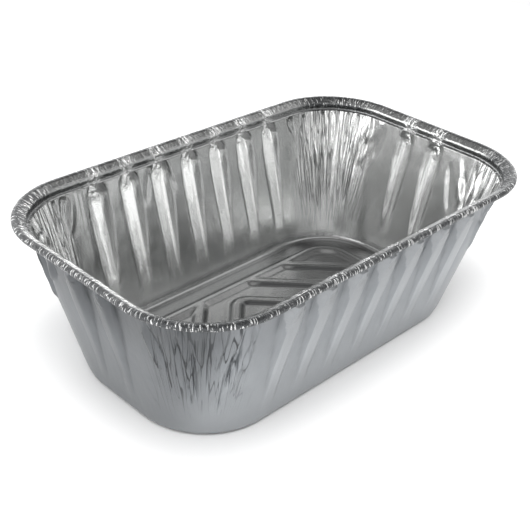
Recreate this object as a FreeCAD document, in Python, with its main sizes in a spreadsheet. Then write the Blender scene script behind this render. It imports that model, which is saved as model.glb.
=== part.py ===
import FreeCAD, Part
import math
import os

import Sketcher
from FreeCAD import Placement, Rotation, Vector

# A one-piece loaf pan pressed from thin aluminium foil, in millimetres.
# X is along the length, Y across the width and Z up; the origin is the middle of the base.
#
# The pan is what lies between two press forms. The die shapes the outside and the punch shapes
# the inside. Both are the same tub with the same flutes and floor ribs, and the punch is smaller
# by the foil's thickness all round. The rim, a stacking shoulder, a sloped flange and a rolled
# curl, is swept round the mouth and joined to the wall.

SIZES = {
    # rim
    "rim_length": 156,
    "rim_width": 97.2,
    "rim_corner": 27.4,
    "pan_height": 51.7,
    "rim_reach": 4.8,
    "curl_radius": 1.25,
    "curl_turn": 240,
    "rim_rise": 4.1,
    "shoulder_rise": 2.6,
    "ledge_width": 0.6,
    "ledge_root": 1,
    # tub
    "base_length": 126,
    "base_width": 67.5,
    "wall_corner": 23.2,
    "heel_radius": 2.4,
    "foil": 0.18,
    # flutes, flat-crested ribs that grow out of the walls from their feet up to their heads
    "flute_pitch": 12.8,
    "side_flutes": 7,
    "end_flutes": 2,
    "flute_height": 2.6,
    "flute_crest": 4.1,
    "flute_flank": 2.2,
    "flute_root": 0.8,
    "flute_foot": 6,
    "flute_lead": 4,
    "head_gap": 0.6,
    # ribs pressed up into the floor
    "rib_height": 0.9,
    "rib_crest": 1.9,
    "rib_run": 1.9,
    "ring_length": 105,
    "ring_width": 48,
    "ring_corner": 10,
    "ring_crest": 2,
    "ring_outer_run": 1.5,
    "diamond_pitch": 17.5,
    "diamond_bend": 4.5,
}

FORMULAS = {
    "shoulder_foot": "pan_height - rim_rise",
    "mouth_length": "rim_length - 2 * rim_reach",
    "mouth_width": "rim_width - 2 * rim_reach",
    "mouth_corner": "rim_corner - rim_reach",
    "end_lean": "(mouth_length - base_length) / 2 / shoulder_foot",
    "side_lean": "(mouth_width - base_width) / 2 / shoulder_foot",
    "punch_mouth_length": "mouth_length - 2 * foil",
    "punch_mouth_width": "mouth_width - 2 * foil",
    "punch_base_length": "base_length - 2 * foil * (1 - end_lean)",
    "punch_base_width": "base_width - 2 * foil * (1 - side_lean)",
    "punch_wall_corner": "wall_corner - foil",
    "punch_heel_radius": "heel_radius - foil",
    "first_side_flute": "-(side_flutes - 1) * flute_pitch / 2",
    "first_end_flute": "-(end_flutes - 1) * flute_pitch / 2",
    "flute_start": "flute_foot - flute_lead",
    "flute_top": "shoulder_foot - head_gap",
    "flute_slant": "flute_height / (flute_top - flute_foot)",
    "flute_reach": "flute_height + flute_root",
    "flute_root_width": "flute_crest + 2 * flute_flank * flute_reach / flute_height",
    "end_flute_low": "base_length / 2 + end_lean * flute_start - flute_slant * flute_lead",
    "end_flute_high": "base_length / 2 + end_lean * flute_top + flute_height",
    "side_flute_low": "base_width / 2 + side_lean * flute_start - flute_slant * flute_lead",
    "side_flute_high": "base_width / 2 + side_lean * flute_top + flute_height",
    "punch_flute_top": "flute_top - foil",
    "punch_end_flute_low": "end_flute_low - foil",
    "punch_end_flute_high": "end_flute_high - foil * (1 + end_lean + flute_slant)",
    "punch_side_flute_low": "side_flute_low - foil",
    "punch_side_flute_high": "side_flute_high - foil * (1 + side_lean + flute_slant)",
    "curl_inner_radius": "curl_radius - foil",
    "curl_end": "curl_turn - 270",
    "curl_reach": "rim_reach - curl_radius",
    "curl_rise": "rim_rise - curl_radius",
    "half_ring_width": "ring_width / 2",
    "diamond_side": "diamond_pitch * sqrt(2)",
    "near_chevron": "2 * diamond_pitch",
    "far_chevron": "3 * diamond_pitch",
    "near_chevron_centre": "near_chevron - diamond_bend * sqrt(2)",
    "far_chevron_centre": "far_chevron - diamond_bend * sqrt(2)",
}

doc = FreeCAD.newDocument("loaf_pan")


def make_sheet():
    """Write the driving sizes and what follows from them, one named cell each."""
    sheet = doc.addObject("Spreadsheet::Sheet", "Sizes")
    for row, (name, number) in enumerate(SIZES.items(), start=1):
        sheet.set("A%d" % row, name)
        sheet.set("B%d" % row, str(number))
        sheet.setAlias("B%d" % row, name)
    for row, (name, formula) in enumerate(FORMULAS.items(), start=1):
        sheet.set("D%d" % row, name)
        sheet.set("E%d" % row, "=" + formula)
        sheet.setAlias("E%d" % row, name)
    doc.recompute()
    return sheet


sheet = make_sheet()


def size(name):
    return float(sheet.get(name))


# ---- sketch helpers ----


def origin_part(body, role):
    return next(item for item in body.Origin.OriginFeatures if item.Role == role)


def flat_sketch(body, name, role, lift=None):
    """A sketch on one of the body's origin planes, lifted off it by a named size."""
    sketch = body.newObject("Sketcher::SketchObject", name)
    sketch.AttachmentSupport = [(origin_part(body, role), "")]
    sketch.MapMode = "FlatFace"
    if lift:
        sketch.setExpression("AttachmentOffset.Base.z", "Sizes." + lift)
    return sketch


def section_sketch(body, name, path):
    """A sketch square to a path where its first arc starts.

    The sketch's x points at the arc's centre. On a path that lies flat, its y is up.
    """
    doc.recompute()
    arcs = [
        number
        for number, edge in enumerate(path.Shape.Edges, start=1)
        if edge.Curve.TypeId == "Part::GeomCircle"
    ]
    sketch = body.newObject("Sketcher::SketchObject", name)
    sketch.AttachmentSupport = [(path, "Edge%d" % arcs[0])]
    sketch.MapMode = "FrenetNB"
    sketch.MapPathParameter = 0
    sketch.AttachmentOffset = Placement(Vector(), Rotation(Vector(0, 1, 0), 180))
    return sketch


def bind(sketch, kind, target, alias):
    """Add a dimension, name it after a sheet cell and tie it to that cell."""
    number = size(alias)
    if kind == "Angle":
        number = math.radians(number)
    index = sketch.addConstraint(Sketcher.Constraint(kind, *target, number))
    name = "%s_%d" % (alias, index)
    sketch.renameConstraint(index, name)
    unit = " * 1 deg" if kind == "Angle" else ""
    sketch.setExpression("Constraints." + name, "Sizes." + alias + unit)


def arc(centre, radius, start, end):
    """An anticlockwise arc between two angles in degrees."""
    circle = Part.Circle(Vector(*centre, 0), Vector(0, 0, 1), radius)
    return Part.ArcOfCircle(circle, math.radians(start), math.radians(end))


def line(start, end):
    return Part.LineSegment(Vector(*start, 0), Vector(*end, 0))


START, END, CENTRE = 1, 2, 3
AXIS_ORIGIN = (-1, 1)
ACROSS, UPRIGHT = -1, -2


def rounded_box(sketch, length, width, corner):
    """A rectangle with round corners, centred on the sketch's origin."""
    x, y, radius = size(length) / 2, size(width) / 2, size(corner)
    flat_x, flat_y = x - radius, y - radius
    sides = [
        ((x, -flat_y), (x, flat_y)),
        ((flat_x, y), (-flat_x, y)),
        ((-x, flat_y), (-x, -flat_y)),
        ((-flat_x, -y), (flat_x, -y)),
    ]
    centres = [(flat_x, flat_y), (-flat_x, flat_y), (-flat_x, -flat_y), (flat_x, -flat_y)]
    for index in range(4):
        sketch.addGeometry(line(*sides[index]))
        sketch.addGeometry(arc(centres[index], radius, 90 * index, 90 * index + 90))
    for index in range(4):
        side, turn, following = 2 * index, 2 * index + 1, (2 * index + 2) % 8
        direction = "Horizontal" if index % 2 else "Vertical"
        sketch.addConstraint(Sketcher.Constraint("Tangent", side, END, turn, START))
        sketch.addConstraint(Sketcher.Constraint("Tangent", turn, END, following, START))
        sketch.addConstraint(Sketcher.Constraint(direction, side))
        if index:
            sketch.addConstraint(Sketcher.Constraint("Equal", 1, turn))
    sketch.addConstraint(Sketcher.Constraint("Symmetric", 1, CENTRE, 5, CENTRE, *AXIS_ORIGIN))
    bind(sketch, "Radius", (1,), corner)
    bind(sketch, "DistanceX", (4, START, 0, START), length)
    bind(sketch, "DistanceY", (6, START, 2, START), width)


# ---- the press forms ----


def rounded(name, base, radius, edges):
    """Round some edges of a Part object with one named radius."""
    fillet = doc.addObject("Part::Fillet", name)
    fillet.Base = base
    fillet.Edges = [
        (number, size(radius), size(radius))
        for number, edge in enumerate(base.Shape.Edges, start=1)
        if edges(edge.BoundBox)
    ]
    doc.recompute()
    return fillet


def make_tub(name, prefix, floor_lift):
    """A tapered block with large round corners up its walls and a small round edge at its base.

    Part::Wedge tapers along its own Y, so its length and width are X and Z before it is stood up.
    """
    block = doc.addObject("Part::Wedge", name + "_block")
    block.Placement = Placement(Vector(), Rotation(Vector(1, 0, 0), 90))
    for low, high, span in (
        ("Xmin", "Xmax", "base_length"), ("Zmin", "Zmax", "base_width"),
        ("X2min", "X2max", "mouth_length"), ("Z2min", "Z2max", "mouth_width"),
    ):
        block.setExpression(low, "-Sizes.%s / 2" % (prefix + span))
        block.setExpression(high, "Sizes.%s / 2" % (prefix + span))
    block.setExpression("Ymin", "Sizes." + floor_lift if floor_lift else "0")
    block.setExpression("Ymax", "Sizes.shoulder_foot")
    doc.recompute()
    low, high = block.Shape.BoundBox.ZMin, block.Shape.BoundBox.ZMax
    slack = size("foil") / 2
    walls = rounded(
        name + "_walls", block, prefix + "wall_corner",
        lambda box: box.ZMin < low + slack and box.ZMax > high - slack,
    )
    return rounded(
        name + "_tub", walls, prefix + "heel_radius", lambda box: box.ZMax < low + slack
    )


def flute_path(sketch, prefix, wall):
    """The line up the middle of a flute's crest, from inside the form's foot out to its head.

    The sketch's x points out of the pan and its y is up.
    """
    low, high, top = prefix + wall + "_flute_low", prefix + wall + "_flute_high", prefix + "flute_top"
    crest = sketch.addGeometry(
        line((size(low), size("flute_start")), (size(high), size(top)))
    )
    bind(sketch, "DistanceX", (*AXIS_ORIGIN, crest, START), low)
    bind(sketch, "DistanceY", (*AXIS_ORIGIN, crest, START), "flute_start")
    bind(sketch, "DistanceX", (*AXIS_ORIGIN, crest, END), high)
    bind(sketch, "DistanceY", (*AXIS_ORIGIN, crest, END), top)


def flute_section(sketch):
    """A flat crest and slanted flanks, level with the floor and rooted inside the form.

    The crest is at x = 0 and the root at negative x, inside the pan.
    """
    reach = size("flute_reach")
    crest, root = size("flute_crest") / 2, size("flute_root_width") / 2
    corners = [(0, -crest), (0, crest), (-reach, root), (-reach, -root)]
    for index in range(4):
        sketch.addGeometry(line(corners[index], corners[(index + 1) % 4]))
    for index in range(4):
        sketch.addConstraint(
            Sketcher.Constraint("Coincident", index, END, (index + 1) % 4, START)
        )
    narrow, wide = 0, 2
    sketch.addConstraint(Sketcher.Constraint("PointOnObject", narrow, START, UPRIGHT))
    for side in (narrow, wide):
        sketch.addConstraint(Sketcher.Constraint("Symmetric", side, START, side, END, ACROSS))
    bind(sketch, "DistanceX", (wide, START, narrow, END), "flute_reach")
    bind(sketch, "DistanceY", (narrow, START, narrow, END), "flute_crest")
    bind(sketch, "DistanceY", (wide, END, wide, START), "flute_root_width")


def pipe(body, kind, name, path, section):
    feature = body.newObject("PartDesign::" + kind, name)
    feature.Spine = (path, [])
    feature.Profile = section
    feature.Mode = "Frenet"
    body.Tip = feature
    doc.recompute()
    return feature


def press_flutes(body, prefix, wall, plane, outward, along, across):
    """Press one flute out of a wall, repeat it along that wall and mirror the row.

    The section lies level. It is turned so that its x points outward, 0 for X and 90 for Y.
    """
    name = body.Name + "_" + wall
    path = flat_sketch(body, name + "_path", plane)
    flute_path(path, prefix, wall)
    section = flat_sketch(body, name + "_section", "XY_Plane", "flute_start")
    section.AttachmentOffset = Placement(
        section.AttachmentOffset.Base, Rotation(Vector(0, 0, 1), outward)
    )
    places = ("first_%s_flute" % wall, prefix + wall + "_flute_low")
    for direction, place in zip("xy", places if outward else reversed(places)):
        section.setExpression("AttachmentOffset.Base." + direction, "Sizes." + place)
    flute_section(section)
    flute = pipe(body, "AdditivePipe", name + "_flute", path, section)
    row = doc.addObject("PartDesign::LinearPattern", name + "_row")
    body.addObject(row)
    row.Direction = (origin_part(body, along), [""])
    row.Mode = "Spacing"
    row.setExpression("Offset", "Sizes.flute_pitch")
    row.setExpression("Occurrences", "Sizes.%s_flutes" % wall)
    opposite = doc.addObject("PartDesign::Mirrored", name + "_opposite")
    body.addObject(opposite)
    opposite.MirrorPlane = (origin_part(body, across), [""])
    rows = doc.addObject("PartDesign::MultiTransform", name + "_rows")
    body.addObject(rows)
    rows.Originals = [flute]
    rows.Transformations = [row, opposite]
    body.Tip = rows
    doc.recompute()


def rib_section(sketch, crest, outer_run):
    """A trapezoid standing on the floor; x points to the inside of the bend, y is up."""
    half, height = size(crest) / 2, size("rib_height")
    outer, inner = size(outer_run), size("rib_run")
    corners = [(-half - outer, 0), (half + inner, 0), (half, height), (-half, height)]
    for index in range(4):
        sketch.addGeometry(line(corners[index], corners[(index + 1) % 4]))
    for index in range(4):
        sketch.addConstraint(
            Sketcher.Constraint("Coincident", index, END, (index + 1) % 4, START)
        )
    base, top = 0, 2
    sketch.addConstraint(Sketcher.Constraint("PointOnObject", base, START, ACROSS))
    sketch.addConstraint(Sketcher.Constraint("PointOnObject", base, END, ACROSS))
    sketch.addConstraint(Sketcher.Constraint("Symmetric", top, START, top, END, UPRIGHT))
    bind(sketch, "DistanceX", (top, END, top, START), crest)
    bind(sketch, "DistanceY", (*AXIS_ORIGIN, top, END), "rib_height")
    bind(sketch, "DistanceX", (base, START, top, END), outer_run)
    bind(sketch, "DistanceX", (top, START, base, END), "rib_run")


def chevron(sketch, vertex, bend, reach):
    """An open V of two 45 degree lines joined by an arc; its sharp point would be at the vertex."""
    tip, radius, end = size(vertex), size(bend), size(reach)
    centre = tip - radius * math.sqrt(2)
    joint = (centre + radius / math.sqrt(2), radius / math.sqrt(2))
    turn = sketch.addGeometry(arc((centre, 0), radius, -45, 45))
    upper = sketch.addGeometry(line(joint, (tip - end, end)))
    lower = sketch.addGeometry(line((tip - end, -end), (joint[0], -joint[1])))
    sketch.addConstraint(Sketcher.Constraint("Tangent", turn, END, upper, START))
    sketch.addConstraint(Sketcher.Constraint("Tangent", lower, END, turn, START))
    sketch.addConstraint(Sketcher.Constraint("PointOnObject", turn, CENTRE, ACROSS))
    sketch.addConstraint(Sketcher.Constraint("Angle", upper, math.radians(135)))
    sketch.addConstraint(Sketcher.Constraint("Angle", lower, math.radians(45)))
    bind(sketch, "Radius", (turn,), bend)
    bind(sketch, "DistanceX", (*AXIS_ORIGIN, turn, CENTRE), vertex + "_centre")
    bind(sketch, "DistanceY", (*AXIS_ORIGIN, upper, END), reach)
    bind(sketch, "DistanceY", (lower, START, *AXIS_ORIGIN), reach)


def press_rib(body, name, path, crest, outer_run):
    """Sweep a rib's trapezoid along its line on the floor and take it out of the form."""
    section = section_sketch(body, name + "_section", path)
    rib_section(section, crest, outer_run)
    return pipe(body, "SubtractivePipe", name, path, section)


def press_floor(body, floor_lift):
    """The floor's ribs: a ring, a diamond in its middle and two chevrons towards each end."""
    name = body.Name
    path = flat_sketch(body, name + "_ring_path", "XY_Plane", floor_lift)
    rounded_box(path, "ring_length", "ring_width", "ring_corner")
    press_rib(body, name + "_ring", path, "ring_crest", "ring_outer_run")
    path = flat_sketch(body, name + "_diamond_path", "XY_Plane", floor_lift)
    path.AttachmentOffset = Placement(path.AttachmentOffset.Base, Rotation(Vector(0, 0, 1), 45))
    rounded_box(path, "diamond_side", "diamond_side", "diamond_bend")
    press_rib(body, name + "_diamond", path, "rib_crest", "rib_run")
    for vertex in ("near_chevron", "far_chevron"):
        path = flat_sketch(body, name + "_" + vertex + "_path", "XY_Plane", floor_lift)
        chevron(path, vertex, "diamond_bend", "half_ring_width")
        rib = press_rib(body, name + "_" + vertex, path, "rib_crest", "rib_run")
        opposite = body.newObject("PartDesign::Mirrored", name + "_" + vertex + "_opposite")
        opposite.Originals = [rib]
        opposite.MirrorPlane = (origin_part(body, "YZ_Plane"), [""])
        body.Tip = opposite
        doc.recompute()


def make_form(name, prefix, floor_lift=None):
    """One press form, which fills the pan to its outer or its inner face."""
    body = doc.addObject("PartDesign::Body", name)
    body.BaseFeature = make_tub(name, prefix, floor_lift)
    doc.recompute()
    press_flutes(body, prefix, "side", "YZ_Plane", 90, "X_Axis", "XZ_Plane")
    press_flutes(body, prefix, "end", "XZ_Plane", 0, "Y_Axis", "YZ_Plane")
    press_floor(body, floor_lift)
    return body


# ---- the rim ----


def rim_section(sketch):
    """The foil's section from the wall outwards: ledge, shoulder, sloped flange and curl.

    The sketch's x points into the pan and its y is up. The ledge starts inside the die, so that
    the punch trims it flush with the wall.
    """
    foil, rise, ledge = size("foil"), size("shoulder_rise"), size("ledge_width")
    outer, inner = size("curl_radius"), size("curl_inner_radius")
    centre = Vector(-size("curl_reach"), size("curl_rise"), 0)
    shoulder = Vector(-ledge, rise, 0)
    reach = centre - shoulder
    slope = math.atan2(reach.y, -reach.x) + math.asin(outer / reach.Length)
    touch_angle = 90 - math.degrees(slope)
    end_angle = 90 + size("curl_turn")

    def on_curl(radius, angle):
        turn = math.radians(angle)
        return (centre.x + radius * math.cos(turn), centre.y + radius * math.sin(turn))

    middle = (centre.x, centre.y)
    back = shoulder.y - foil * (1 / math.cos(slope) - math.tan(slope))
    root = size("ledge_root")
    upper = [(root, 0), (-ledge, 0), (-ledge, rise), on_curl(outer, touch_angle)]
    lower = [(root, -foil), (-ledge - foil, -foil), (-ledge - foil, back),
             on_curl(inner, touch_angle)]
    for points in (upper, lower):
        for first, second in zip(points, points[1:]):
            sketch.addGeometry(line(first, second))
    outside = sketch.addGeometry(arc(middle, outer, touch_angle, end_angle))
    inside = sketch.addGeometry(arc(middle, inner, touch_angle, end_angle))
    lip = sketch.addGeometry(line(on_curl(outer, end_angle), on_curl(inner, end_angle)))
    seam = sketch.addGeometry(line(lower[0], upper[0]))
    spoke = sketch.addGeometry(line(middle, on_curl(inner, end_angle)), True)
    for first in (0, 3):
        ledge_line, shoulder_line, flange_line = first, first + 1, first + 2
        sketch.addConstraint(Sketcher.Constraint("Horizontal", ledge_line))
        sketch.addConstraint(Sketcher.Constraint("Vertical", shoulder_line))
        for piece in (ledge_line, shoulder_line):
            sketch.addConstraint(Sketcher.Constraint("Coincident", piece, END, piece + 1, START))
    for flange_line, curl in ((2, outside), (5, inside)):
        sketch.addConstraint(Sketcher.Constraint("Tangent", flange_line, END, curl, START))
    sketch.addConstraint(Sketcher.Constraint("Coincident", outside, CENTRE, inside, CENTRE))
    sketch.addConstraint(Sketcher.Constraint("Coincident", lip, START, outside, END))
    sketch.addConstraint(Sketcher.Constraint("Coincident", lip, END, inside, END))
    sketch.addConstraint(Sketcher.Constraint("Coincident", seam, START, 3, START))
    sketch.addConstraint(Sketcher.Constraint("Coincident", seam, END, 0, START))
    sketch.addConstraint(Sketcher.Constraint("Vertical", seam))
    sketch.addConstraint(Sketcher.Constraint("Coincident", spoke, START, inside, CENTRE))
    sketch.addConstraint(Sketcher.Constraint("Coincident", spoke, END, inside, END))
    sketch.addConstraint(Sketcher.Constraint("Parallel", spoke, lip))
    sketch.addConstraint(Sketcher.Constraint("PointOnObject", 0, START, ACROSS))
    sketch.addConstraint(Sketcher.Constraint("Parallel", 2, 5))
    bind(sketch, "DistanceX", (*AXIS_ORIGIN, 0, START), "ledge_root")
    bind(sketch, "DistanceY", (3, START, 0, START), "foil")
    bind(sketch, "DistanceX", (0, END, *AXIS_ORIGIN), "ledge_width")
    bind(sketch, "DistanceX", (3, END, 0, END), "foil")
    bind(sketch, "DistanceY", (0, END, 1, END), "shoulder_rise")
    bind(sketch, "DistanceX", (outside, CENTRE, *AXIS_ORIGIN), "curl_reach")
    bind(sketch, "DistanceY", (*AXIS_ORIGIN, outside, CENTRE), "curl_rise")
    bind(sketch, "Radius", (outside,), "curl_radius")
    bind(sketch, "Radius", (inside,), "curl_inner_radius")
    bind(sketch, "Angle", (spoke,), "curl_end")


def make_rim():
    """The rim, swept round the mouth of the tub."""
    body = doc.addObject("PartDesign::Body", "rim")
    path = flat_sketch(body, "rim_path", "XY_Plane", "shoulder_foot")
    rounded_box(path, "mouth_length", "mouth_width", "mouth_corner")
    section = section_sketch(body, "rim_section", path)
    rim_section(section)
    pipe(body, "AdditivePipe", "rim_sweep", path, section)
    return body


# ---- the pan ----

outside = doc.addObject("Part::MultiFuse", "outside")
outside.Shapes = [make_form("die", ""), make_rim()]
outside.Refine = False

loaf_pan = doc.addObject("Part::Cut", "loaf_pan")
loaf_pan.Label = "loaf_pan"
loaf_pan.Base = outside
loaf_pan.Tool = make_form("punch", "punch_", "foil")
loaf_pan.Refine = True
loaf_pan.Placement = Placement()
doc.recompute()

for item in doc.Objects:
    if "Invalid" in item.State or "Error" in item.State:
        raise RuntimeError("%s failed: %s" % (item.Label, item.State))

os.makedirs("parts", exist_ok=True)
for node in (loaf_pan,):
    shape = node.Shape
    if shape.isNull() or not shape.isValid() or len(shape.Solids) != 1:
        raise RuntimeError("%s isn't one valid solid" % node.Label)
    shape.exportStep("parts/%s.step" % node.Label)
    print(node.Label, len(shape.Faces), "faces", round(shape.Volume, 1), "mm3", shape.BoundBox)
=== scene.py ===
import math

import bpy
import numpy as np
from mathutils import Matrix, Vector


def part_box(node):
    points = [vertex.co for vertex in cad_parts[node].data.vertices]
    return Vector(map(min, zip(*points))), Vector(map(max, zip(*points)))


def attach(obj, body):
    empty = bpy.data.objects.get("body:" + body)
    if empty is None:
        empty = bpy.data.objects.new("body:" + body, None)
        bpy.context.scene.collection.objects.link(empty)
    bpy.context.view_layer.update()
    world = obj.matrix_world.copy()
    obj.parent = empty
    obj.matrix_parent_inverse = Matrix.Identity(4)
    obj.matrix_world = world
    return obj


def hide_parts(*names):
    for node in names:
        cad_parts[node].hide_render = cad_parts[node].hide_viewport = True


# A loaf pan pressed from thin aluminium foil. Lengths are millimetres until a mesh is made.
# X is along the pan, Y across it and Z up; the origin is the middle of its base.

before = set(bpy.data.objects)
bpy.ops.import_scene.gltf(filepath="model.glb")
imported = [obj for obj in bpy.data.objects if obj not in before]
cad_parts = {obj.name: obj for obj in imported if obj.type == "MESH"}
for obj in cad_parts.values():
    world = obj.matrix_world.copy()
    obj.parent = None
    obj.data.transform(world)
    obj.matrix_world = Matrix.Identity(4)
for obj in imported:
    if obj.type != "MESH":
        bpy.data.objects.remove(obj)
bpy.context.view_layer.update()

MM = 0.001
FOIL = 0.18
HALF_FOIL = FOIL / 2

# half length, half width and corner radius of an outline: the rim, the mouth and the wall's foot
foil_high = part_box("loaf_pan")[1]
PAN_HEIGHT = foil_high.z / MM
RIM = np.array([foil_high.x / MM, foil_high.y / MM, 27.4])
RIM_REACH = 4.8
MOUTH = RIM - RIM_REACH
FOOT = np.array([63.0, 33.75, 24.0])

SHOULDER_FOOT, SHOULDER_TOP, LEDGE = 47.6, 50.2, 0.6
CURL_RADIUS, CURL_TURN = 1.05, 240
HEEL_RADIUS, HEEL_TURN, HEEL_TOP = 2.4, 78, 2.6

# rows up the section: how many in each part, and the heights where their spacing changes
HEEL_ROWS, LOW_ROWS, HIGH_ROWS = 4, 13, 14
SHOULDER_ROWS, FLANGE_ROWS, CURL_ROWS = 4, 3, 10
HALFWAY_UP, NEAR_HEAD, HEAD_HEIGHTS = 28, 46.2, [47.0, 47.35]

FLUTE_PITCH, FLUTE_CREST, FLUTE_FLANK = 12.8, 4.1, 1.9
SIDE_FLUTES, END_FLUTES = 7, 2
FLUTE_FOOT, FLUTE_HEAD, FLUTE_HEIGHT, FLANK_SLOPE = 6.0, 47.0, 2.6, 1.18

# from which height to which a flute's crest opens, widens and narrows again, its flanks
# steepen and the flanks of its head take the crest's painted highlight; then by how much
CREST_OPENS, CREST_WIDENS, CREST_NARROWS = (1, 6), (12, 40), (44, 48)
FLANK_STEEPENS, HEAD_SHINES = (36, 45), (38, 46)
CREST_WIDENING, CREST_NARROWING, FLANK_STEEPENING = 0.5, 0.6, 0.8
# how wide the end walls' crests are, and how strong their painted crest highlight is
END_CREST, END_SHINE = 0.75, 0.3

# a wall's outward direction: its part along Y that tells long sides from ends, and the range
# of its larger part over which flutes fade in from the corners
LONG_SIDE, FLUTES_FADE = 0.6, (0.75, 0.95)

# columns round the pan: grid steps in the parts of a flute's pitch, in the plain ends of a
# side and in a corner; sides end at their limits
PITCH_STEPS = [3, 3, 4, 3, 3]
SIDE_LIMIT, END_LIMIT = 50.4, 21.2
SIDE_PLAIN_STEPS, END_PLAIN_STEPS = 8, 11
CORNER_COLUMNS = 89

# folds gathered in a round corner: how many, over what reach, and the ranges they are drawn from
PLEATS, PLEAT_REACH, PLEAT_HEAD, PLEAT_DROP = 30, 21, 47.3, 14
PLEAT_LENGTH, PLEAT_WIDTH, PLEAT_DEPTH = (7, 24), (0.8, 1.9), (0.35, 0.95)
PLEAT_DRIFT, PLEAT_FAN, CORNER_INSET = 0.8, 2.0, 6.6
PLEAT_SEED = 11

RIB_HEIGHT, RIB_CREST, RIB_RUN = 0.9, 1.9, 1.9
RING = np.array([52.5, 24.0, 10.0])
RING_CREST, RING_OUTER_RUN = 2.0, 1.5
DIAMOND_PITCH, RIB_BEND = 17.5, 4.5
CHEVRONS = 2, 3
DOME = 0.3

FIELD_CELLS = 124, 56
FIELD_CORNER_CELLS = 11
FIELD = np.array([51.46, 23.24])
BAND_END = np.array([60.55, 31.3, 21.5])
BAND_ROWS = 12


# ---- the wall, heel and rim: one grid of columns round the pan and rows up it ----


def fluted_stations(flutes, limit, plain_steps):
    """Stations along a fluted side from its low end to its high end.

    Each pitch has even steps in half a valley, a flank, the flute's crest, a flank and half a
    valley. Even steps lead on to the limit at both ends.
    """
    steps = np.cumsum([0, *PITCH_STEPS])
    half_valley = (FLUTE_PITCH - FLUTE_CREST - 2 * FLUTE_FLANK) / 2
    edges = np.cumsum([0, half_valley, FLUTE_FLANK, FLUTE_CREST, FLUTE_FLANK, half_valley])
    count = np.arange(steps[-1] * flutes + 1)
    within = np.interp(count % steps[-1], steps, edges)
    fluted = (count // steps[-1] - flutes / 2) * FLUTE_PITCH + within
    plain = np.linspace(fluted[-1], limit, plain_steps + 1)[1:]
    return np.concatenate([-plain[::-1], fluted, plain])


side_x = fluted_stations(SIDE_FLUTES, SIDE_LIMIT, SIDE_PLAIN_STEPS)
end_y = fluted_stations(END_FLUTES, END_LIMIT, END_PLAIN_STEPS)


def outline(size):
    """A loop round a rectangle with round corners, for each row of (half x, half y, radius).

    Side columns keep their own x or y at every size; where one is past the start of a corner,
    it rides on the corner's circle. Corner columns are spread evenly in angle between them.
    Returns points and outward directions, each rows x columns x 2, anticlockwise from above.
    """
    half, radius = size[:, None, :2], size[:, 2:]
    flat = half - radius[..., None]
    points, ways = [], []

    def keep(point, way):
        """Add columns to the loop."""
        points.append(point)
        ways.append(way)

    def side(station, axis, sign):
        """Columns at stations along one axis, on the side that the sign gives."""
        past = np.clip(np.abs(station) - flat[..., axis], 0, None)
        rise = np.sqrt(radius**2 - past**2)
        way = np.empty(past.shape + (2,))
        way[..., axis] = np.sign(station) * past / radius
        way[..., 1 - axis] = sign * rise / radius
        point = np.empty_like(way)
        point[..., axis] = station
        point[..., 1 - axis] = sign * (flat[..., 1 - axis] + rise)
        keep(point, way)

    def corner(sign_x, sign_y, backwards):
        """Columns round one corner, from its end side to its long side or backwards."""
        first = np.arcsin(np.clip((END_LIMIT - flat[..., 1]) / radius, 0, 1))
        last = np.arccos(np.clip((SIDE_LIMIT - flat[..., 0]) / radius, 0, 1))
        part = np.arange(CORNER_COLUMNS) / CORNER_COLUMNS
        angle = first + (last - first) * (1 - part if backwards else part)
        way = np.stack([sign_x * np.cos(angle), sign_y * np.sin(angle)], -1)
        keep(flat * [sign_x, sign_y] + radius[..., None] * way, way)

    side(end_y[:-1], 1, 1)
    corner(1, 1, False)
    side(side_x[:0:-1], 0, 1)
    corner(-1, 1, True)
    side(end_y[:0:-1], 1, -1)
    corner(-1, -1, False)
    side(side_x[:-1], 0, -1)
    corner(1, -1, True)
    return np.concatenate(points, 1), np.concatenate(ways, 1)


def wall_section():
    """The pan's section from the floor's edge outwards and up: outline sizes and heights.

    It is the middle of the foil: the heel's arc, a straight leaning wall, a ledge, an upright
    shoulder, a flange that slopes up outwards and the curl's arc, which the flange touches.
    Returns the wall's lean too, as its reach outwards over its height.
    """
    lean = (MOUTH[:2] - FOOT[:2]).mean() / SHOULDER_FOOT
    turn = np.radians(np.linspace(0, HEEL_TURN, HEEL_ROWS))
    setback = HEEL_RADIUS * math.tan(math.radians(HEEL_TURN) / 2)
    middle = HEEL_RADIUS - HALF_FOIL
    heel_out = -setback + middle * np.sin(turn)
    heel_z = HEEL_RADIUS - middle * np.cos(turn)
    low = np.linspace(heel_z[-1], HALFWAY_UP, LOW_ROWS + 1)[1:]
    high = np.linspace(HALFWAY_UP, NEAR_HEAD, HIGH_ROWS + 1)[1:]
    wall_z = np.concatenate([low, high, HEAD_HEIGHTS, [SHOULDER_FOOT - HALF_FOIL]])
    wall = FOOT + (MOUTH - FOOT) * wall_z[:, None] / SHOULDER_FOOT - HALF_FOIL

    centre = np.array([RIM_REACH - CURL_RADIUS, PAN_HEIGHT - CURL_RADIUS])
    radius = CURL_RADIUS - HALF_FOIL
    shoulder = np.array([LEDGE + HALF_FOIL, SHOULDER_TOP - HALF_FOIL])
    reach = centre - shoulder
    slope = math.atan2(reach[1], reach[0]) + math.asin(radius / math.hypot(*reach))
    start = math.pi / 2 + slope
    curl = start - np.radians(np.linspace(0, CURL_TURN, CURL_ROWS))
    curl_points = centre + radius * np.stack([np.cos(curl), np.sin(curl)], -1)
    flange_part = np.linspace(0, 1, FLANGE_ROWS + 2)[1:-1, None]
    flange = shoulder + (curl_points[0] - shoulder) * flange_part
    upright_z = np.linspace(SHOULDER_FOOT - HALF_FOIL, SHOULDER_TOP - HALF_FOIL, SHOULDER_ROWS)
    upright = np.stack([np.full(SHOULDER_ROWS, LEDGE + HALF_FOIL), upright_z], -1)
    rim = np.concatenate([upright, flange, curl_points])
    size = np.concatenate([FOOT + heel_out[:, None], wall, MOUTH + rim[:, :1]])
    return size, np.concatenate([heel_z, wall_z, rim[:, 1]]), lean


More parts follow.
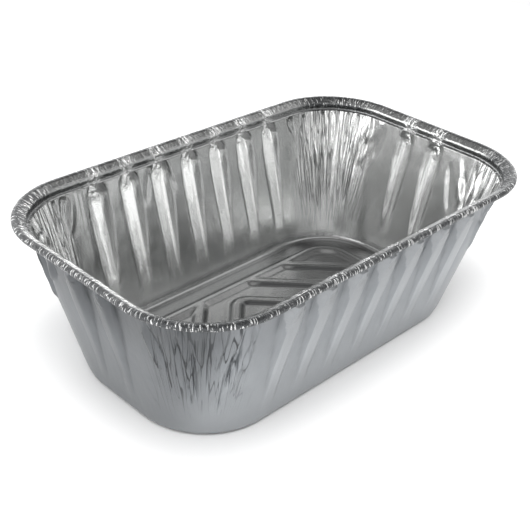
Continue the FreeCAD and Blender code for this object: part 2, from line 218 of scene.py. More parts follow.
section_size, section_z, wall_lean = wall_section()
wall_xy, wall_way = outline(section_size)
ROWS, COLUMNS = wall_xy.shape[:2]
wall_z = np.broadcast_to(section_z[:, None], (ROWS, COLUMNS))
mouth_row = int(np.argmax(section_z >= SHOULDER_FOOT - FOIL))
mouth_steps = np.linalg.norm(np.roll(wall_xy[mouth_row], -1, 0) - wall_xy[mouth_row], axis=1)
along = np.concatenate([[0], np.cumsum(mouth_steps)[:-1]])
PERIMETER = mouth_steps.sum()


def smooth_step(value, low, high):
    """Nought below low, one above high and a smooth S between them."""
    part = np.clip((value - low) / (high - low), 0, 1)
    return part * part * (3 - 2 * part)


def flutes(x, y, z):
    """How far the walls' flutes stand out: flat-crested ribs that grow from foot to head.

    Across a flute the height is a trapezoid of the distance to its middle, as high as the
    flute's level there, with flanks of one slope, which steepens near the head. The crest
    widens up the wall and narrows again at the head, which ends under the ledge.
    Returns the height, the distance, how far a point is on a crest, where that takes in the
    flanks near the head, for a painted highlight, and how near it is to the line along a
    flank's foot, for a painted shade line.
    """
    def from_middle(station, count):
        """Distance to the middle of the nearest flute."""
        last = (count - 1) / 2
        middle = np.clip(np.round(station / FLUTE_PITCH + last), 0, count - 1) - last
        return np.abs(station - middle * FLUTE_PITCH)

    on_side = np.abs(wall_way[..., 1]) > LONG_SIDE
    distance = np.where(on_side, from_middle(x, SIDE_FLUTES), from_middle(y, END_FLUTES))
    level = FLUTE_HEIGHT * np.clip((z - FLUTE_FOOT) / (FLUTE_HEAD - FLUTE_FOOT), 0, 1)
    crest = FLUTE_CREST / 2 + CREST_WIDENING * smooth_step(z, *CREST_WIDENS)
    crest = crest * smooth_step(z, *CREST_OPENS)
    crest = crest * (1 - CREST_NARROWING * smooth_step(z, *CREST_NARROWS))
    crest = crest * np.where(on_side, 1, END_CREST)
    slope = FLANK_SLOPE * (1 + FLANK_STEEPENING * smooth_step(z, *FLANK_STEEPENS))
    stands = np.clip((crest - distance) * slope + level, 0, level)
    on_wall = np.arange(ROWS)[:, None] < mouth_row
    on_wall = on_wall * smooth_step(np.abs(wall_way).max(-1), *FLUTES_FADE)

    edge_blur = 0.3
    flank = level / slope
    shining = crest + flank * smooth_step(z, *HEAD_SHINES)
    on_crest = np.clip((shining + edge_blur - distance) / (2 * edge_blur), 0, 1) * on_wall
    on_crest = on_crest * np.where(on_side, 1, END_SHINE)
    line_offset, line_width, line_starts = 0.2, 0.4, (0.1, 0.8)
    at_foot = np.exp(-((distance - crest - flank - line_offset) / line_width) ** 2)
    at_foot = at_foot * on_wall * smooth_step(level, *line_starts)
    return stands * on_wall, distance, on_crest, at_foot


def mouth_place(x, y):
    """How far round the mouth the column nearest to a point is."""
    return along[np.argmin(np.hypot(*(wall_xy[mouth_row] - [x, y]).T))]


def pleats(rows):
    """How far folds stand out: each is a ridge along a slanted line, widest in its middle.

    A row gives the place round the mouth and the height of each end, the half width and the
    depth. Across a ridge its height falls evenly from its depth at the line to nought at the
    half width, which shrinks to nought at both ends as the root of 4 t (1 - t).
    """
    least_width = 0.05
    top, top_z, low, low_z, width, depth = (column[:, None, None] for column in rows.T)
    run, rise = low - top, low_z - top_z
    around = (along[None, None, :] - top + PERIMETER / 2) % PERIMETER - PERIMETER / 2
    up = wall_z[None] - top_z
    part = np.clip((around * run + up * rise) / (run**2 + rise**2), 0, 1)
    distance = np.hypot(around - part * run, up - part * rise)
    half = width * np.sqrt(np.clip(4 * part * (1 - part), 0, 1)) + least_width
    return (depth * np.clip(1 - distance / half, 0, 1)).sum(0)


def corner_pleats(chance):
    """Rows of folds gathered in the round corners, longest in the middle of each.

    A fold at s from the middle, from minus one to one, is shortened by 1.15 - 0.6 s s. Most
    start near the pleats' head, and the cube of an even draw drops a few lower.
    """
    rows = []
    for x, y in ((1, 1), (-1, 1), (-1, -1), (1, -1)):
        middle = mouth_place(x * (MOUTH[0] - CORNER_INSET), y * (MOUTH[1] - CORNER_INSET))
        spread = np.sort(chance.uniform(-1, 1, PLEATS))
        top = middle + PLEAT_REACH * spread
        length = chance.uniform(*PLEAT_LENGTH, PLEATS) * (1.15 - 0.6 * spread**2)
        start = PLEAT_HEAD - chance.uniform(0, 1, PLEATS) ** 3 * PLEAT_DROP
        low = top + chance.normal(0, PLEAT_DRIFT, PLEATS) - PLEAT_FAN * spread
        width = chance.uniform(*PLEAT_WIDTH, PLEATS)
        depth = chance.choice([-1, 1], PLEATS) * chance.uniform(*PLEAT_DEPTH, PLEATS)
        rows.append(np.stack([top, start, low, start - length, width, depth], -1))
    return np.concatenate(rows)


def side_pleats():
    """Rows of single folds on the walls: a place as x and y, its two heights, slant and size."""
    far, right = MOUTH[1], MOUTH[0]
    folds = [
        # x, y, top, bottom, slant, half width, depth
        (-17.0, far, 47.0, 37.0, -3.2, 0.9, 0.7),
        (-11.0, far, 47.0, 37.0, 3.2, 0.9, 0.7),
        (-1.0, far, 47.5, 30.0, -0.4, 1.5, 0.9),
        (24.5, far, 47.5, 31.0, 0.2, 1.5, 0.9),
        (11.8, far, 47.5, 42.0, 0.5, 0.9, 0.5),
        (-39.5, far, 47.5, 16.0, 2.0, 2.2, 0.9),
        (-35.0, far, 46.0, 30.0, -2.0, 1.2, 0.5),
        (-45.0, far, 47.0, 20.0, 1.0, 1.6, -0.6),
        (right, -14.0, 41.0, 26.0, 4.0, 1.8, 0.6),
        (right, -18.0, 44.0, 30.0, 3.0, 1.5, -0.5),
        (right, -21.0, 40.0, 22.0, 5.0, 1.8, 0.7),
        (right, -25.0, 45.0, 27.0, 3.5, 1.4, 0.5),
        (right, -28.0, 42.0, 20.0, 4.0, 1.5, -0.6),
        (right, 17.0, 46.0, 33.0, -2.0, 1.3, 0.4),
    ]
    rows = []
    for x, y, top, low, slant, width, depth in folds:
        place = mouth_place(x, y)
        rows.append((place, top, place - slant, low, width, depth))
    return np.array(rows)


stands_out, flute_distance, on_crest, at_foot = flutes(wall_xy[..., 0], wall_xy[..., 1], wall_z)
chance = np.random.default_rng(PLEAT_SEED)
folded = pleats(np.concatenate([corner_pleats(chance), side_pleats()]))
stands_out = stands_out + folded * (np.arange(ROWS)[:, None] <= mouth_row + 1)
lean_angle = math.atan(wall_lean)
wall_out = np.concatenate([
    wall_way * math.cos(lean_angle), np.full((ROWS, COLUMNS, 1), -math.sin(lean_angle)),
], -1)
wall_points = np.concatenate([wall_xy, wall_z[..., None]], -1) + wall_out * stands_out[..., None]


# ---- the floor: a ribbed field, and a band round it that meets the heel ----


def rib(distance, crest, outer_run, inner_run):
    """A rib's height over the distance from its middle line, outwards positive: a trapezoid."""
    run = np.where(distance > 0, outer_run, inner_run)
    return RIB_HEIGHT * np.clip((crest / 2 + run - np.abs(distance)) / run, 0, 1)


def corner_distance(u, v, half_u, half_v, radius):
    """Distance outside the corner at (half u, half v), rounded off with the radius."""
    past_u, past_v = u - (half_u - radius), v - (half_v - radius)
    outside = np.hypot(np.clip(past_u, 0, None), np.clip(past_v, 0, None))
    return outside + np.minimum(np.maximum(past_u, past_v), 0) - radius


def floor_height(x, y):
    """The highest of the ribs at each point: a ring, a diamond and two chevrons to each end.

    The diamond and the chevrons are squares on their points, the chevrons' cut off by the ring.
    """
    root = math.sqrt(2)
    ring = corner_distance(np.abs(x), np.abs(y), *RING)
    height = rib(ring, RING_CREST, RING_OUTER_RUN, RIB_RUN)
    half = DIAMOND_PITCH / root
    diamond = corner_distance(
        np.abs(x + y) / root, np.abs(x - y) / root, half, half, RIB_BEND
    )
    height = np.maximum(height, rib(diamond, RIB_CREST, RIB_RUN, RIB_RUN))
    u, v = (np.abs(x) + y) / root, (np.abs(x) - y) / root
    for count in CHEVRONS:
        chevron = corner_distance(u, v, count * half, count * half, RIB_BEND)
        height = np.maximum(height, rib(chevron, RIB_CREST, RIB_RUN, RIB_RUN) * (ring < 0))
    return height


def field_grid():
    """An even grid whose four corner squares are pressed round, and a corner square's size.

    In a corner square, with p and q from nought to one across it, the point moves to
    (p sqrt(1 - q q / 2), q sqrt(1 - p p / 2)), which turns the square into a quarter disc.
    """
    x = np.linspace(-FIELD[0], FIELD[0], FIELD_CELLS[0] + 1)
    y = np.linspace(-FIELD[1], FIELD[1], FIELD_CELLS[1] + 1)
    x, y = np.meshgrid(x, y, indexing="ij")
    corner = FIELD_CORNER_CELLS * 2 * FIELD / FIELD_CELLS
    flat = FIELD - corner
    p, q = (np.abs(x) - flat[0]) / corner[0], (np.abs(y) - flat[1]) / corner[1]
    in_corner = (p > 0) & (q > 0)
    p, q = np.clip(p, 0, 1), np.clip(q, 0, 1)
    round_x = np.sign(x) * (flat[0] + corner[0] * p * np.sqrt(1 - q * q / 2))
    round_y = np.sign(y) * (flat[1] + corner[1] * q * np.sqrt(1 - p * p / 2))
    return np.where(in_corner, round_x, x), np.where(in_corner, round_y, y), corner


field_x, field_y, field_corner = field_grid()
field_index = np.arange(field_x.size).reshape(field_x.shape)
edge_index = np.concatenate([
    field_index[-1, :-1], field_index[:0:-1, -1], field_index[0, :0:-1], field_index[:-1, 0],
])
edge = np.stack([field_x.flat[edge_index], field_y.flat[edge_index]], -1)
edge_core = np.clip(edge, field_corner - FIELD, FIELD - field_corner)
edge_way = (edge - edge_core) / field_corner
band_part = np.linspace(0, 1, BAND_ROWS + 1)[1:, None, None]
band_reach = field_corner + (BAND_END[2] - field_corner) * band_part
band_flat = (BAND_END[:2] - BAND_END[2]) / (FIELD - field_corner)
band = edge_core * (1 + (band_flat - 1) * band_part) + edge_way * band_reach
floor_x = np.concatenate([field_x.ravel(), band[..., 0].ravel()])
floor_y = np.concatenate([field_y.ravel(), band[..., 1].ravel()])


def closed_strip(index):
    """Quads between neighbouring closed rows of vertex numbers."""
    ahead = np.roll(index, -1, 1)
    return np.stack([index[:-1], ahead[:-1], ahead[1:], index[1:]], -1).reshape(-1, 4)


def zipper(inner, inner_turn, outer, outer_turn):
    """Triangles between two closed loops with different counts.

    The loops' turns are merged in order. Each step of either loop makes one triangle with the
    vertex that the other loop has come to.
    """
    turns = np.concatenate([inner_turn, outer_turn])
    is_inner = np.arange(len(turns)) < len(inner)
    order = np.argsort(turns, kind="stable")
    step_inner = is_inner[order]
    at_inner = np.cumsum(step_inner) - 1
    at_outer = np.cumsum(~step_inner) - 1
    before_inner, before_outer = at_inner - step_inner, at_outer - ~step_inner
    third = np.where(step_inner, inner[at_inner], outer[at_outer])
    return np.stack([inner[before_inner], third, outer[before_outer]], -1)


def loop_turn(points):
    """Each point's turn round the pan's middle, with its length squeezed to its width."""
    return np.arctan2(points[:, 1] * FOOT[0] / FOOT[1], points[:, 0])


def pan_mesh():
    """Join the field, the band, the zipper and the wall's grid into one mesh.

    The floor is domed by (1 - x x / X X) (1 - y y / Y Y), where X and Y are the foot's halves.
    A field cell is cut along the diagonal that runs round the pan's middle.
    """
    dome = DOME * (1 - (floor_y / FOOT[1]) ** 2) * (1 - (floor_x / FOOT[0]) ** 2)
    floor_z = floor_height(floor_x, floor_y) + dome + HALF_FOIL
    floor_points = np.stack([floor_x, floor_y, floor_z], -1)
    points = np.concatenate([floor_points, wall_points.reshape(-1, 3)])
    band_index = field_index.size + np.arange(band[..., 0].size).reshape(BAND_ROWS, -1)
    band_index = np.concatenate([edge_index[None], band_index])
    wall_index = len(floor_points) + np.arange(ROWS * COLUMNS).reshape(ROWS, COLUMNS)

    a, b = field_index[:-1, :-1], field_index[:-1, 1:]
    c, d = field_index[1:, 1:], field_index[1:, :-1]
    same = (field_x * field_y)[:-1, :-1] + (field_x * field_y)[1:, 1:] > 0
    first = np.where(same[..., None], np.stack([a, b, d], -1), np.stack([a, b, c], -1))
    second = np.where(same[..., None], np.stack([b, c, d], -1), np.stack([a, c, d], -1))

    band_turn, wall_turn = loop_turn(band[-1]), loop_turn(wall_xy[0])
    band_order, wall_order = np.argsort(band_turn), np.argsort(wall_turn)
    joint = zipper(
        band_index[-1][band_order], band_turn[band_order],
        wall_index[0][wall_order], wall_turn[wall_order],
    )
    quads = np.concatenate([closed_strip(band_index), closed_strip(wall_index)])
    triangles = np.concatenate([first.reshape(-1, 3), second.reshape(-1, 3), joint])
    return points * MM, quads, triangles


# ---- marks: what the finishes need to know at each point of the mesh ----

# Each point has three marks. Its place on the flat foil is a point on the mouth and the
# distance up the section, so that a pattern stretched along the third part runs up the wall.
# Its crinkles are the crimp, the corner's creases and the puckers, which give bumps and also
# place painted shade and painted highlights. Its tone places painted light: how far it is on a
# crest, for a painted highlight, how near to the line at a flute's foot, for a painted shade
# line, and the painted shade on the rim and the ribs' flanks less the painted shade between
# crests, on the heel and on the floor's band, which the two finishes show with strengths of
# their own.

# Marks on the rim come and go over these rows, counted from the mouth: 1 to 4 go up the
# shoulder, 5 to 7 up the flange and 8 to 17 round the curl.
FLANGE_CRIMPS, CORNER_CRIMPS, CURL_CRIMPS = (3, 5), (1, 4), (8.4, 9.6)
SEAM_STARTS, SEAM_ENDS, CURL_DARKENS = (6.7, 7.7), (8.4, 9.8), (8.6, 9.4)
SHADE_END, FAR_END, FLANGE_END = 4, 7, 9

# Marks on the wall come and go over these heights.
CREASES_START, PUCKERS_START = (4, 34), (40, 47)
VALLEYS_DULL, CORNERS_BRIGHTEN = (8, 36), (18, 32)

# Marks keep to these parts of the pan: ranges of the outward direction's part along Y, of its
# smaller part in the corners, and how far a flute's head reaches along the rim.
NEAR, FAR, ON_LONG_WALL, IN_CORNER = (0.1, 0.8), (0.7, 0.95), (0.9, 1), (0.02, 0.45)
FLUTE_REACH = 2.6

# The strength of each mark where it is full; the shades are painted shade. Far gaps are in line
# with the flutes.
FLANGE_CRIMP, CORNER_CRIMP, RIM_PUCKER = 0.1, 0.7, 0.3
SHOULDER_SHADE, CURL_SHADE, SEAM_SHADE, HEEL_SHADE = 0.7, 0.35, 0.85, 1.2
NEAR_SHADE, FAR_SHADE, FAR_GAPS = 0.75, 0.2, 0.7
RIB_SHADE, BAND_SHADE = 0.6, 0.8

# The floor's place on the flat foil is this far below the wall's foot.
FLAT_DEPTH = -5.0

# Distances outside the ring's middle line: half its top with a painted highlight, where the
# pattern's flanks with painted shade end, where the band with painted shade starts and where its
# ends with a painted highlight do. These are that far along the pan.
RING_SHINE, PATTERN_ENDS, BAND_STARTS, BRIGHT_STARTS = 1.2, (-5, -3), (0.5, 2), 1
BAND_ENDS = 42, 54


def wall_marks():
    """The marks on the wall's grid."""
    section = np.stack([section_size[:, 0], section_z], -1)
    steps = np.linalg.norm(np.diff(section, axis=0), axis=1)
    travel = np.concatenate([[0], np.cumsum(steps)])
    travel = np.broadcast_to(travel[:, None, None], (ROWS, COLUMNS, 1))
    place = np.concatenate([np.broadcast_to(wall_xy[mouth_row], wall_xy.shape), travel], -1)

    row = np.arange(ROWS)[:, None] - mouth_row + np.zeros((1, COLUMNS))
    in_corner = smooth_step(np.abs(wall_way).min(-1), *IN_CORNER)
    by_flute = np.exp(-(flute_distance / FLUTE_REACH) ** 2)
    to_far = wall_way[..., 1]

    flange_crimp = FLANGE_CRIMP * smooth_step(row, *FLANGE_CRIMPS)
    corner_crimp = CORNER_CRIMP * in_corner * smooth_step(row, *CORNER_CRIMPS)
    crimp = np.maximum(flange_crimp + corner_crimp, smooth_step(row, *CURL_CRIMPS))
    creases = in_corner * smooth_step(wall_z, *CREASES_START) * (row < 1)
    rim_pucker = (RIM_PUCKER + by_flute) * (row >= 0) * (row < FLANGE_END)
    head_pucker = by_flute * smooth_step(wall_z, *PUCKERS_START) * (row < 0)
    crinkle = np.stack([crimp, creases, rim_pucker + head_pucker], -1)

    # Painted shade on the shoulder, in a line round the curl, on the near and far flange and
    # round the rest of the curl.
    shoulder = SHOULDER_SHADE * (1 - by_flute) * (row >= 0) * (row < SHADE_END)
    rim_line_shade = SEAM_SHADE * smooth_step(row, *SEAM_STARTS) * (1 - smooth_step(row, *SEAM_ENDS))
    near_flange = NEAR_SHADE * smooth_step(-to_far, *NEAR) * (row < FLANGE_END)
    far_flange = FAR_SHADE * smooth_step(to_far, *FAR) * (row < FAR_END)
    far_flange = far_flange * (1 - FAR_GAPS * by_flute)
    rim_line_shade = np.maximum(rim_line_shade, (far_flange + near_flange) * (row > 1))
    painted_shade_mark = np.maximum(shoulder, rim_line_shade + CURL_SHADE * smooth_step(row, *CURL_DARKENS))

    # Painted shade between the crests of the long walls, low in the corners and on the heel.
    valley = (1 - on_crest) * smooth_step(np.abs(to_far), *ON_LONG_WALL)
    valley = valley * smooth_step(wall_z, *VALLEYS_DULL)
    corner_foot = in_corner * (1 - smooth_step(wall_z, *CORNERS_BRIGHTEN))
    between = np.maximum(valley, corner_foot) * (row < 1)
    between = np.maximum(between, HEEL_SHADE * (wall_z < HEEL_TOP))
    return place, crinkle, np.stack([on_crest, at_foot, painted_shade_mark - between], -1)


def floor_marks():
    """The marks on the floor, which has no crinkles.

    The ring's top and the band's ends get a painted highlight, the ribs' flanks painted shade
    as the arch 1 - (2 h - 1) (2 h - 1) of their part height h, and the band's sides painted
    shade.
    """
    place = np.stack([floor_x, floor_y, np.full_like(floor_x, FLAT_DEPTH)], -1)
    past_ring = corner_distance(np.abs(floor_x), np.abs(floor_y), *RING)
    at_end = smooth_step(np.abs(floor_x), *BAND_ENDS)
    # Painted highlight on the ring's top and the band's ends; painted shade on the ribs' flanks
    # and the band's sides.
    painted_highlight = np.exp(-((past_ring / RING_SHINE) ** 4)) + at_end * (past_ring > BRIGHT_STARTS)
    raised = floor_height(floor_x, floor_y) / RIB_HEIGHT
    flank = (1 - (2 * raised - 1) ** 2) * (1 - smooth_step(past_ring, *PATTERN_ENDS))
    between = BAND_SHADE * smooth_step(past_ring, *BAND_STARTS) * (1 - at_end)
    tone = np.stack([painted_highlight, np.zeros_like(floor_x), RIB_SHADE * flank - between], -1)
    return place, np.zeros_like(place), tone


def make_mesh(name, points, quads, triangles):
    """A smooth-shaded object in the scene, made from points and faces."""
    mesh = bpy.data.meshes.new(name)
    mesh.from_pydata(points.tolist(), [], quads.tolist() + triangles.tolist())
    mesh.polygons.foreach_set("use_smooth", np.ones(len(mesh.polygons), bool))
    mesh.update()
    piece = bpy.data.objects.new(name, mesh)
    bpy.context.scene.collection.objects.link(piece)
    return piece


pan = make_mesh("pressed_foil_pan", *pan_mesh())
MARKS = "flat_place", "crinkled", "pressed"
for name, on_floor, on_wall in zip(MARKS, floor_marks(), wall_marks()):
    layer = pan.data.attributes.new(name, "FLOAT_VECTOR", "POINT")
    values = np.concatenate([on_floor, on_wall.reshape(-1, 3)])
    layer.data.foreach_set("vector", values.ravel())
gauge = pan.modifiers.new("foil gauge", "SOLIDIFY")
gauge.thickness = FOIL * MM
gauge.offset = 0


# ---- finishes ----


class Wire:
    """A socket of a node tree. Arithmetic on it adds Math nodes."""

    def __init__(self, tree, socket=None):
        self.tree, self.socket = tree, socket

    def node(self, kind, settings=(), inputs=(), output=0):
        """Add a node: its settings first, then its sockets' values or links."""
        node = self.tree.nodes.new(kind)
        for key, setting in dict(settings).items():
            setattr(node, key, setting)
        for key, value in dict(inputs).items():
            if isinstance(value, Wire):
                self.tree.links.new(value.socket, node.inputs[key])
            else:
                node.inputs[key].default_value = value
        return Wire(self.tree, node.outputs[output] if node.outputs else None)

    def math(self, operation, *others):
        """A Math node over this socket and the others."""
        return self.node(
            "ShaderNodeMath", {"operation": operation}, enumerate((self, *others))
        )

    def parts(self):
        """The X, Y and Z of a vector."""
        split = self.node("ShaderNodeSeparateXYZ", (), {"Vector": self})
        return [Wire(self.tree, socket) for socket in split.socket.node.outputs]

    def fade(self, low, high, start=0.0, end=1.0):
        """The start value below low, the end value above high and a smooth S between them."""
        return self.node(
            "ShaderNodeMapRange", {"interpolation_type": "SMOOTHSTEP"},
            {
                "Value": self, "From Min": low, "From Max": high,
                "To Min": start, "To Max": end,
            },
        )

    def __add__(self, other):
        return self.math("ADD", other)

    def __radd__(self, other):
        return self.math("ADD", other)

    def __sub__(self, other):
        return self.math("SUBTRACT", other)

    def __rsub__(self, other):
        return (self * -1).math("ADD", other)

    def __mul__(self, other):
        return self.math("MULTIPLY", other)

    def __rmul__(self, other):
        return self.math("MULTIPLY", other)


# Colours that the painted shade and the painted highlights go to, and the most of each.
PAINTED_SHADE_COLOUR, PAINTED_HIGHLIGHT_COLOUR = (0.06, 0.063, 0.066), (0.97, 0.97, 0.97)
MOST_DARK, MOST_WHITE = 0.97, 0.95

# in metres, the heights over which crests and the wall's foot get a painted highlight and its
# top painted shade, and the places along the pan over which its near end gets painted shade
CREST_HIGHLIGHT, FOOT_HIGHLIGHT = (0.004, 0.034), (0.024, 0.008)
TOP_SHADE, END_SHADE = (0.020, 0.047), (-0.055, -0.066)

# in millimetres up the section, which is below nought on the floor
UP_THE_WALL, ON_THE_FLOOR = (-0.5, 4.0), (-0.5, -4.0)


def foil_finish(name, tones, roughness, top_end_shade, foot_line_shade, between_shade, sharpness):
    """Rolled aluminium: metal all through, with a fine crinkle, and painted highlights and
    shade.

    The colour is a cloudy mix of the first two tones, and goes to the third, a painted
    highlight, on the crests and low on the wall. It then goes to painted shade in the nicks and
    creases, up the wall and at the near end as far as the top and end shade strength says, along
    the flutes' feet as far as the foot line strength says, with the painted shade marks, and
    between the crests as far as the between strength says; the pan's floor is made darker too.
    Last it goes to painted highlights on the other side of the nicks, and on creases and puckers
    as far as sharpness is over one. Sharpness is also the depth of the corners' folds.
    """
    finish = bpy.data.materials.new(name)
    finish.use_nodes = True
    tree = finish.node_tree
    tree.nodes.clear()
    start = Wire(tree)
    flat, crinkled, pressed = (
        start.node("ShaderNodeAttribute", {"attribute_name": mark}, output="Vector")
        for mark in MARKS
    )
    place = start.node("ShaderNodeTexCoord", output="Object")
    level = flat.parts()[2]
    crimped, corner, pucker = crinkled.parts()
    on_crest, at_foot, tone = pressed.parts()
    along_x, _, tall = place.parts()
    painted_shade_mark = tone.math("MAXIMUM", 0.0)
    between = tone.math("MINIMUM", 0.0) * -1.0

    def noise(point, scale, detail, rough=0.5):
        """Noise over a point, with this many cells to its unit."""
        return start.node(
            "ShaderNodeTexNoise", {"noise_dimensions": "3D"},
            {"Vector": point, "Scale": scale, "Detail": detail, "Roughness": rough},
        )

    def streaks(round_it, up_it, detail, shift=(0, 0, 0)):
        """Noise on the flat foil, with one scale round the pan and one up the section."""
        point = start.node(
            "ShaderNodeMapping", (),
            {"Vector": flat, "Location": shift, "Scale": (round_it, round_it, up_it)},
        )
        return noise(point, 1.0, detail)

    def ridges(value):
        """Nought where the noise is at its middle, and rising away from it: sharp folds."""
        return (value - 0.5).math("ABSOLUTE")

    def blend(factor, first, second):
        """The first colour, going to the second with the factor."""
        return start.node(
            "ShaderNodeMix", {"data_type": "RGBA"},
            {"Factor": factor, "A": first, "B": second}, output="Result",
        )

    cloud = noise(place, 120.0, 3.0)
    crinkle = noise(place, 420.0, 4.0, 0.6)
    nicks = streaks(2.6, 0.5, 2.0)
    folds = ridges(streaks(0.42, 0.04, 1.0, (7, 3, 0)))
    creases = ridges(streaks(1.3, 0.07, 1.0))
    wisps = ridges(streaks(0.8, 0.45, 2.0, (3, 9, 0)))
    waves = streaks(0.22, 0.1, 2.0)
    dimples = streaks(0.9, 0.6, 2.0)
    brushed = streaks(0.12, 2.2, 2.0) * 0.5 + 0.65

    height = crinkle * 0.04 + waves * level.fade(*UP_THE_WALL) * 0.2
    height = height + crimped * ridges(nicks) * 0.9
    height = height + corner * (folds * sharpness + creases * 0.6)
    height = height + pucker * dimples * 0.9
    bump = start.node(
        "ShaderNodeBump", (), {"Height": height, "Strength": 1.0, "Distance": 0.001}
    )

    dull, light, bright = ((*colour, 1) for colour in tones)
    # Painted highlight: brushed stripes on the crests, and the wall made lighter low down
    # between them.
    crest = on_crest.fade(0.2, 0.5)
    painted_highlight = crest * (tall.fade(*CREST_HIGHLIGHT) * 0.3 + 0.7) * brushed
    painted_highlight = painted_highlight + (1 - crest) * tall.fade(*FOOT_HIGHLIGHT) * 0.55
    colour = blend(painted_highlight.math("MINIMUM", 1.0), blend(cloud, dull, light), bright)

    # Painted shade: in the nicks and creases, at the wall's top and near end, along the flutes'
    # feet, on the rim and the ribs' flanks, between the crests, on the heel and on the floor's
    # band; the pan's floor is made darker too.
    nick_shade = crimped * (1 - nicks.fade(0.54, 0.60))
    crease_shade = corner * (1 - folds.fade(0.006, 0.024))
    top_end_darkening = tall.fade(*TOP_SHADE) * 0.35 + along_x.fade(*END_SHADE) * 0.45
    on_floor = level.fade(*ON_THE_FLOOR)
    dark = nick_shade * 0.95 + crease_shade * 0.8 + top_end_darkening * top_end_shade + at_foot * foot_line_shade + on_floor * 0.3
    dark = dark + painted_shade_mark + between * between_shade
    colour = blend(dark.math("MINIMUM", MOST_DARK), colour, (*PAINTED_SHADE_COLOUR, 1))

    # Painted highlights: on the other side of the nicks, on the backs of the corners' folds,
    # along their creases and on the puckers.
    glint = sharpness - 1
    nick_highlights = crimped * nicks.fade(0.58, 0.64) * (1 - painted_shade_mark)
    fold_highlights = corner * folds.fade(0.07, 0.15)
    crease_highlights = corner * (1 - creases.fade(0.005, 0.03))
    pucker_highlights = pucker.fade(0.55, 1.0) * (1 - wisps.fade(0.01, 0.035))
    white = nick_highlights * 0.95 + fold_highlights * (glint * 0.3) + crease_highlights * (glint * 0.4)
    white = white + pucker_highlights * (glint * 0.55)
    colour = blend(white.math("MINIMUM", MOST_WHITE), colour, (*PAINTED_HIGHLIGHT_COLOUR, 1))

    metal = start.node(
        "ShaderNodeBsdfPrincipled", (),
        {
            "Base Color": colour, "Metallic": 1.0, "Roughness": roughness + 0.06 * cloud,
            "Normal": bump,
        },
    )
    start.node("ShaderNodeOutputMaterial", (), {"Surface": metal})
    return finish


# The outside is the satin side, and its darker tones are partly that and partly painted shade;
# each finish's third tone is the colour of its painted highlight.
pan.data.materials.append(foil_finish(
    "satin_outside_painted_shade", ((0.27, 0.285, 0.30), (0.37, 0.385, 0.40), (0.43, 0.445, 0.46)),
    roughness=0.33, top_end_shade=1.0, foot_line_shade=0.2, between_shade=0.0, sharpness=1.0,
))
pan.data.materials.append(foil_finish(
    "bright_inside", ((0.58, 0.585, 0.58), (0.72, 0.725, 0.72), (0.97, 0.975, 0.97)),
    roughness=0.2, top_end_shade=0.0, foot_line_shade=0.1, between_shade=0.38, sharpness=2.6,
))
gauge.material_offset = 1
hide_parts("loaf_pan")
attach(pan, "root")


# ---- table, camera and light: metres, but the target, distance and lens are millimetres ----


def plain_material(name, colour, roughness):
    """A material of one colour."""
    material = bpy.data.materials.new(name)
    material.use_nodes = True
    shader = material.node_tree.nodes["Principled BSDF"]
    shader.inputs["Base Color"].default_value = (*colour, 1)
    shader.inputs["Roughness"].default_value = roughness
    return material


TABLE_HALF, TABLE_Z = 0.4, -0.0002
table_mesh = bpy.data.meshes.new("table")
table_mesh.from_pydata(
    [(x * TABLE_HALF, y * TABLE_HALF, TABLE_Z) for x, y in ((-1, -1), (1, -1), (1, 1), (-1, 1))],
    [], [(0, 1, 2, 3)],
)
table = bpy.data.objects.new("table", table_mesh)
bpy.context.scene.collection.objects.link(table)
table.data.materials.append(plain_material("white_table", (0.85, 0.85, 0.85), 0.9))

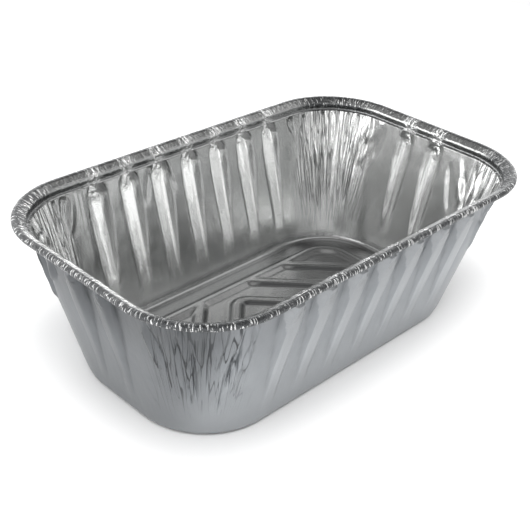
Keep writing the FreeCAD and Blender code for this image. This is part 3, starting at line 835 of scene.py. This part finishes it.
# the camera looks back along this way from the pan; right and up are tilted by the roll
AZIMUTH, ELEVATION, ROLL = math.radians(-46.93), math.radians(30.87), math.radians(3.31)
TARGET, DISTANCE = Vector((0, 0, 25)), 320.5
LENS, SENSOR, SHIFT, CLIP_START = 67.04, 36, (-0.0214, -0.0109), 0.01
back = Vector((
    math.sin(AZIMUTH) * math.cos(ELEVATION), -math.cos(AZIMUTH) * math.cos(ELEVATION),
    math.sin(ELEVATION),
))
level_right = Vector((0, 0, 1)).cross(back).normalized()
level_up = back.cross(level_right)
right = level_right * math.cos(ROLL) + level_up * math.sin(ROLL)
up = level_up * math.cos(ROLL) - level_right * math.sin(ROLL)
camera_data = bpy.data.cameras.new("camera")
camera_data.sensor_width = SENSOR
camera_data.lens = LENS
camera_data.shift_x, camera_data.shift_y = SHIFT
camera_data.clip_start = CLIP_START
camera = bpy.data.objects.new("camera", camera_data)
placing = Matrix((right, up, back)).transposed().to_4x4()
placing.translation = (TARGET + back * DISTANCE) * MM
camera.matrix_world = placing
bpy.context.scene.collection.objects.link(camera)
bpy.context.scene.camera = camera


def softbox(name, place, target, size, power):
    """An area lamp that faces its target."""
    light = bpy.data.lights.new(name, "AREA")
    light.shape = "RECTANGLE"
    light.size, light.size_y = size
    light.energy = power
    lamp = bpy.data.objects.new(name, light)
    lamp.location = place
    lamp.rotation_euler = (Vector(target) - Vector(place)).to_track_quat("-Z", "Y").to_euler()
    bpy.context.scene.collection.objects.link(lamp)
    return lamp


fill = softbox("overhead_softbox", (-0.25, -0.3, 1.3), (0, 0, 0), (1.0, 1.0), 23)
fill.visible_glossy = False

# the room that the foil mirrors: a band at the horizon, brightest past the far long side, a ring
# overhead, brightest on the near side, and a faint ceiling; the camera itself sees plain white
TO_FAR = (-0.2, 0.98, 0)
world = bpy.data.worlds.new("studio")
bpy.context.scene.world = world
world.use_nodes = True
world.node_tree.nodes.clear()
sky = Wire(world.node_tree)
direction = sky.node("ShaderNodeTexCoord", output="Generated")
far = sky.node(
    "ShaderNodeVectorMath", {"operation": "DOT_PRODUCT"}, {0: direction, 1: TO_FAR},
    output="Value",
)
upward = direction.parts()[2]
horizon = upward.fade(0.37, 0.6, 1.0, 0.0) * far.fade(-0.6, 0.3, 0.75, 2.9)
ring = upward.fade(0.6, 0.68) * upward.fade(0.78, 0.88, 1.0, 0.0)
ring = ring * far.fade(-0.5, 0.3, 0.9, 0.35)
glow = horizon + ring + upward.fade(0.9, 0.99, 0.08, 0.4)
seen = sky.node("ShaderNodeLightPath", output="Is Camera Ray")
glow = glow * (1 - seen) + seen
shine = sky.node("ShaderNodeBackground", (), {"Color": (1, 1, 1, 1), "Strength": glow})
sky.node("ShaderNodeOutputWorld", (), {"Surface": shine})

bpy.context.scene.view_settings.view_transform = "Standard"
